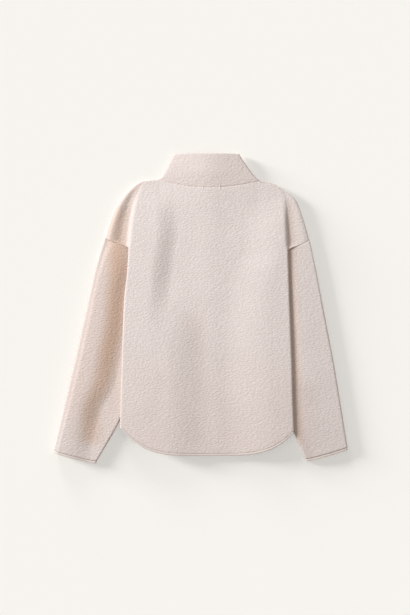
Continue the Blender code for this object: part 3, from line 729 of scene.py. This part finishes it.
def spaced(line, others, gap):
    """Points a given distance apart along a line, with the same stretch of other lists beside it."""
    run = np.concatenate([[0], np.cumsum(np.linalg.norm(np.diff(line, axis=0), axis=1))])
    at = np.arange(gap / 2, run[-1], gap)

    def pick(values):
        return np.stack([np.interp(at, run, values[:, k]) for k in range(3)], -1)

    return [pick(line)] + [pick(o) for o in others]


def sewn(name, tube, thick, line, look):
    """Stitches all round one row of a tube of cloth, on its outer face."""
    outer, inner = wall(tube, np.full(tube.shape[:2], thick - STITCH_SUNK), True)
    row_points, faces = outer[:, line], unit(outer - inner)[:, line]
    row_points, faces = (np.concatenate([a, a[:1]]) for a in (row_points, faces))
    points, normals = spaced(row_points, [faces], STITCH)
    return bars(name, points, unit(np.gradient(points, axis=0)), unit(normals), look)


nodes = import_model()["nodes"]
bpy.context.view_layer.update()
fleece = fleece_look()
binding = woven_look("binding_tape", BINDING_COLOUR, 0.9, 0.75)
tape = woven_look("zip_weave", TAPE_COLOUR, 0.7, 0.8)
thread = woven_look("sewing_thread", THREAD_COLOUR, 0.3, 0.6)
metal = woven_look("zip_metal_finish", METAL_COLOUR, 0.2, 0.35, 1.0)
tack = woven_look("tack_thread", TACK_COLOUR, 0.3, 0.6)

SPACING = 2.8
MEET = 0.25  # how far each piece is let out at a seam, so that its pile closes over the stitching
NECK_MEET = 2.5  # and at the foot of the collar
ARMHOLE_MEET = {"left": 2.9, "right": 2.7}
GROOVE = {"sleeve": 0.12, "collar": 0.12, "back": 0.18}  # how far these draw in at their seams
SLIM = {"pile": 0, "groove": 0.2, "reach": 1.2}  # the bindings have no pile, and narrow grooves
CUFF_EDGE = 2.5  # from the end of the sleeve to its stitches
SLEEVE_SHADE = {"left": 0.3, "right": 0.0}  # painted shade: the least shade painted all over each sleeve, less toward the cuff
# painted shade over the outer edges on the left, the side that faces the light
EDGE_SHADE = {"left": 0.65, "right": 0.0}
GREY = 0.6  # how much of the tone of a shallow fold is shade alone, without warmth
# The lines along which shade is painted into the colour, in the creases where the cloth lies deepest, with
# the half width and the depth of painted shade of each.
SHADE_FOLDS = {
    "left": {
        "y": (-594, -534, -462, -390, -318, -246, -174, -102, -60),
        "x": (-284, -284, -255, -240, -226, -221, -218, -219, -208),
        "half": 31,
        "depth": (0.7, 0.75, 0.9, 1.0, 1.0, 1.0, 1.0, 0.9, 0.8),
    },
    "right": {
        "y": (-600, -534, -462, -390, -318, -246, -174, -102, -60),
        "x": (216, 213, 209, 204, 201, 197, 194, 191, 188),
        "half": 14,
        "depth": 0.5,
    },
    "right low": {"y": (-640, -590, -534, -490), "x": (240, 236, 230, 224), "half": 30, "depth": 0.4},
    "lower": {"y": (-590, -462, -330), "x": (-34, -30, -36), "half": 26, "depth": 0.24},
    "low left": {"y": (-540, -462), "x": (-139, -120), "half": 15, "depth": 0.16},
}
SHALLOW = ("lower", "low left", "right low")
# about how long each stretch of a piece is, by which its points are spaced
STRETCH = {
    "half back": 190, "turned under": 46, "front": 180, "collar": 84,
    "sleeve": 520, "over sleeve": 140, "under sleeve": 120,
}


def in_steps(stretch):
    """How many steps of the usual spacing go into a stretch."""
    return round(STRETCH[stretch] / SPACING)


half_columns = steps((0, 1, in_steps("half back")), (1, 2, 8), (2, 3, in_steps("turned under")))
front_columns = steps((0, 1, in_steps("front")))

around = steps((-2, -1.1, 40), (-1.1, -0.9, 6), (-0.9, 0.9, 84), (0.9, 1.1, 6), (1.1, 2, 40))
up = np.array(steps((0, 1, in_steps("collar"))))
points = grid_of(collar, around, up)
behind = (ease(-1, -0.85, np.array(around)) * (1 - ease(0.85, 1, np.array(around))))[:, None]
points[..., 2] -= NECK_DIP * behind * np.exp(-((STRETCH["collar"] * up / DIP_REACH) ** 2))
# painted shade: a little all over the collar, and in grey over its turn on the left side
collar_edge_shade = 0.8 * np.exp(-(((np.array(around) - 1) / 0.06) ** 2))[:, None]
painted_shade_maps = {"painted_shade": 0.1, "painted_grey_shade": collar_edge_shade}
points = met(points, (NECK_MEET, 0))
piece = cloth("collar_fleece", points, FLEECE, fleece, groove=GROOVE["collar"], painted_shade_maps=painted_shade_maps)
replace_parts(piece, "collar")

for name in ("left", "right"):
    grid = grid_of(lambda c, v: half_front(name, c, v), front_columns, even_rows(0, 14, SPACING, "front_y"))
    piece = cloth(f"front_{name}_fleece", met(grid, (MEET, MEET), (0, MEET)), FLEECE, fleece)
    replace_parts(piece, f"front_{name}")
    over = steps((0, 1, in_steps("over sleeve")), (1, 2, 6), (2, 3, in_steps("under sleeve")), (3, 4, 6))[:-1]
    grid = grid_of(lambda u, v: sleeve(name, u, v), over, steps((0, 1, in_steps("sleeve"))))
    # painted shade on each sleeve: some all over, less toward the cuff, warm in the crease beside the body
    # and the shallow folds, and grey over its outer edge
    shaded = SLEEVE_SHADE[name] * (1 - 0.7 * ease(-480, -620, grid[..., 1]))
    shallow_fold_shade = fold_shade_mask(grid, *SHALLOW)
    painted_shade = np.maximum(np.maximum(fold_shade_mask(grid, name), shaded), (1 - GREY) * shallow_fold_shade)
    painted_shade_maps = {"painted_shade": painted_shade, "painted_grey_shade": np.maximum(EDGE_SHADE[name] * edge_shade_mask(grid, name, 6), GREY * shallow_fold_shade)}
    grid = met(grid, (ARMHOLE_MEET[name], MEET))
    groove = GROOVE["sleeve"]
    piece = cloth(f"sleeve_{name}_fleece", grid, FLEECE, fleece, closed=True, groove=groove, painted_shade_maps=painted_shade_maps)
    ring = grid_of(lambda u, v: sleeve(name, u, np.ones_like(v), v), over, steps((0.4, 6, 4)))
    cuff = cloth(f"cuff_tape_{name}", ring, BINDING, binding, closed=True, **SLIM)
    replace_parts(cuff, f"cuff_binding_{name}")
    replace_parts(piece, f"sleeve_{name}")
    row_in = max(1, round(CUFF_EDGE / SPACING))
    seam = sewn(f"cuff_stitches_{name}", grid, FLEECE, -1 - row_in, thread)

hem_rows = steps((14.06, 15, 3))  # from just past the hem seam
hem = np.concatenate(
    [
        grid_of(lambda c, v: half_front("left", c, v), front_columns, hem_rows),
        back_grid(half_columns, hem_rows),
        grid_of(lambda c, v: half_front("right", c, v), front_columns[::-1], hem_rows),
    ]
)
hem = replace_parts(cloth("hem_tape", hem, BINDING, binding, **SLIM), "hem_binding")
back_points = back_grid(half_columns, even_rows(0, 14, SPACING, "back_y"))
column = np.array(list(half_columns[:0:-1]) + list(half_columns))
past_edge = ease(1.2, 2, column)[:, None]
# painted shade, warm in the creases beside the sleeves where the back runs over its edge, and partly warm in
# the shallow folds
painted_shade = 0.75 * fold_shade_mask(back_points, "left", "right") * past_edge
shallow_fold_shade = fold_shade_mask(back_points, *SHALLOW) * (1 - past_edge)
painted_shade = np.maximum(painted_shade, (1 - GREY) * shallow_fold_shade)
# painted shade, darker toward the hem
painted_shade = np.maximum(painted_shade, 0.12 * ease(-330, -600, back_points[..., 1]))
on_left = back_points[..., 0] < 0
# painted grey shade over the turn of the back's left edge, which faces the light, and in the shallow folds
painted_grey_shade = (ease(0.98, 1.02, column) * (1 - ease(1.5, 2, column)))[:, None] * ease(12, -30, back_points[..., 1])
painted_grey_shade = np.maximum(0.2 * painted_grey_shade * on_left, GREY * shallow_fold_shade)
# painted shade on the back's cloth out over each shoulder, like its sleeve's, and over its outer edge
for name in ("left", "right"):
    there = on_left if name == "left" else ~on_left
    painted_shade = np.maximum(painted_shade, SLEEVE_SHADE[name] * past_edge * there)
    painted_grey_shade = np.maximum(painted_grey_shade, 0.4 * EDGE_SHADE[name] * edge_shade_mask(back_points, name, 6) * past_edge * there)
back_points = met(back_points, (MEET, MEET), (MEET, MEET))
painted_shade_maps = {"painted_shade": painted_shade, "painted_grey_shade": painted_grey_shade}
piece = cloth("back_fleece", back_points, FLEECE, fleece, groove=GROOVE["back"], painted_shade_maps=painted_shade_maps)
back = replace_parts(piece, "back")

# The zip keeps its CAD shape, with a woven tape, and the teeth of its coil along both edges.
for name in ("zip_left", "zip_right"):
    for s in nodes[name].material_slots:
        s.material = tape
for name in ("zip_slider", "zip_pull"):
    for s in nodes[name].material_slots:
        s.material = metal
for name, side in (("left", -1), ("right", 1)):
    y = np.arange(COIL_LOW, COIL_HIGH, TOOTH) + (TOOTH / 2 if side > 0 else 0.0)
    line = zip_grid([(1.5, 2.1)], side, y)[0]
    ahead = np.tile((1.0, 0.0, 0.0), (len(line), 1))
    down = np.tile((0.0, 0.0, -1.0), (len(line), 1))
    bars(f"zip_teeth_{name}", line, ahead, down, thread, long=2.9, wide=0.42)

# Two tacks hold the label inside the neck and show through on the back.
for name, x in TACKS:
    run = np.linspace(-4.0, 5.0, 4)  # four stitches, from the back over the seam onto the collar
    line = np.stack([x + 0 * run, run - 1.0, 0 * run], -1)
    line[:, 2] = [tack_z(x, y) for y in line[:, 1]]
    ahead, up = np.tile((0.0, 1.0, 0.0), (4, 1)), np.tile((0.0, 0.0, 1.0), (4, 1))
    bars(f"label_tack_{name}", line, ahead, up, tack, long=3.6, wide=0.9)

# a plain pale floor under an even sky
floor = bpy.data.meshes.new("floor")
floor.from_pydata([(-6, -6, 0), (6, -6, 0), (6, 6, 0), (-6, 6, 0)], [], [(0, 1, 2, 3)])
floor = bpy.data.objects.new("floor", floor)
bpy.context.collection.objects.link(floor)
paper, _, shader = nodes_of("paper", 0.9)
shader.inputs["Base Color"].default_value = (0.93, 0.905, 0.86, 1)
shader.inputs["Specular IOR Level"].default_value = 0.0
floor.data.materials.append(paper)

world = bpy.data.worlds.new("sky")
world.use_nodes = True
tree = world.node_tree
sky = tree.nodes["Background"]
sky.inputs["Color"].default_value = (1.0, 0.96, 0.92, 1)
sky.inputs["Strength"].default_value = 0.38
# seen past the end of the floor, the surroundings are as pale as the floor
wall_seen = add(tree, "ShaderNodeBackground", Color=(0.92, 0.90, 0.86, 1), Strength=1.0)
which = tree.nodes.new("ShaderNodeMixShader")
tree.links.new(tree.nodes.new("ShaderNodeLightPath").outputs["Is Camera Ray"], which.inputs["Fac"])
tree.links.new(sky.outputs["Background"], which.inputs[1])
tree.links.new(wall_seen.outputs["Background"], which.inputs[2])
tree.links.new(which.outputs["Shader"], tree.nodes["World Output"].inputs["Surface"])
bpy.context.scene.world = world


def light(name, kind, size, height, way, colour, floor_only):
    """A soft light. height is its angle above the table and way the direction that it comes from, round
    from the wearer's right. It lights the floor alone, or all but the floor."""
    made = bpy.data.lights.new(name, kind)
    made.color = colour
    o = bpy.data.objects.new(name, made)
    bpy.context.collection.objects.link(o)
    tilt, turn = math.radians(90 - height), math.radians(way)
    o.rotation_euler = (0, tilt, turn)
    if kind == "AREA":
        made.size = size
        o.location = (
            KEY_AWAY * math.sin(tilt) * math.cos(turn),
            KEY_AWAY * math.sin(tilt) * math.sin(turn),
            KEY_AWAY * math.cos(tilt),
        )
        o.visible_camera = False
    else:
        made.angle = math.radians(size)
    lit = bpy.data.collections.new(name + "_lights")
    lit.objects.link(floor)
    o.light_linking.receiver_collection = lit
    lit.collection_objects[0].light_linking.link_state = "INCLUDE" if floor_only else "EXCLUDE"
    return made


# The key models the cloth. The floor has lights of its own, two of them low, for the long soft shadow.
KEY_AWAY = 4.6
KEY_HEIGHT = 33
LOW_HEIGHT = 6.8
key = light("key", "AREA", 1.5, KEY_HEIGHT, 148, (0.97, 1.0, 1.04), False)
key.energy = 2.0 / math.sin(math.radians(KEY_HEIGHT)) * math.pi * KEY_AWAY**2
light("floor_top", "SUN", 10, 89, 135, (1.0, 1.05, 1.10), True).energy = 0.964
for name, way, share in (("floor_left", 158, 0.80), ("floor_far", 108, 0.20)):
    low = light(name, "SUN", 14, LOW_HEIGHT, way, (1.0, 1.0, 1.0), True)
    low.energy = share * 0.99 / math.sin(math.radians(LOW_HEIGHT))

# The photograph's frame covers this much of the table, about this point of the garment.
VIEW_LONG, VIEW_FROM = 1.476, 3.6
VIEW_AT = (-9.6, -288.0)
camera = bpy.data.cameras.new("camera")
camera.lens = camera.sensor_width * VIEW_FROM / VIEW_LONG
camera = bpy.data.objects.new("camera", camera)
camera.location = ((VIEW_AT[0] + PLACED[0]) * MM, (VIEW_AT[1] + PLACED[1]) * MM, VIEW_FROM)
bpy.context.collection.objects.link(camera)
bpy.context.scene.camera = camera
bpy.context.scene.view_settings.view_transform = "Standard"
